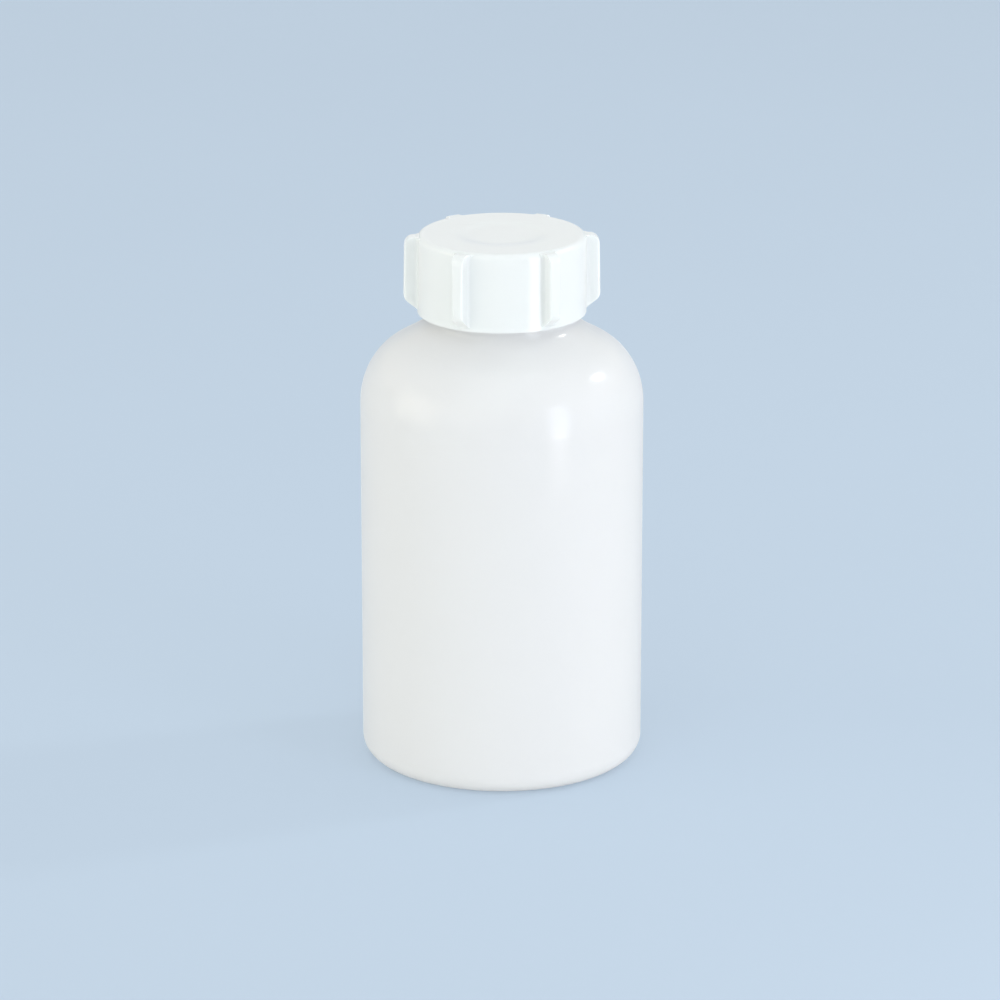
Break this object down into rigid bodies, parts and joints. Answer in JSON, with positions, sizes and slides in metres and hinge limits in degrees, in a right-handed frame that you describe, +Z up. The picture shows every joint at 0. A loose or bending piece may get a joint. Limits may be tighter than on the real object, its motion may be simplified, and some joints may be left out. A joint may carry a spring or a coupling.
{
  "type": "wide-mouth bottle",
  "caption": "Round wide-mouth plastic laboratory bottle with domed shoulder and lugged screw cap, for storing and dispensing liquids or powders.",
  "frame": {"origin": "centre of the base on the surface that the bottle stands on", "axes": "+Z up along the bottle's axis to the cap, -Y towards the viewer, +X to the viewer's right"},
  "size_m": [0.098, 0.098, 0.1878],
  "materials": {
    "natural_ldpe": "milky translucent, satin",
    "white_polyethylene": "moulded, satin",
    "foamed_polyethylene": "matte foam"
  },
  "bodies": {
    "bottle": {"bottle": "natural_ldpe"},
    "sealing_disc": {"sealing_disc": "foamed_polyethylene"},
    "screw_cap": {"screw_cap": "white_polyethylene"}
  },
  "joints": [
    {"name": "cap_rise", "type": "slide", "parent": "bottle", "child": "sealing_disc", "axis": [0, 0, 1], "range_m": [0, 0.02705]},
    {"name": "cap_turn", "type": "hinge", "parent": "sealing_disc", "child": "screw_cap", "pos_m": [0, 0, 0.1856], "axis": [0, 0, 1], "range_deg": [0, 1620]}
  ],
  "couplings": [
    {"joint": "cap_rise", "follows": "cap_turn", "m_per_rad": 0.00095493}
  ]
}
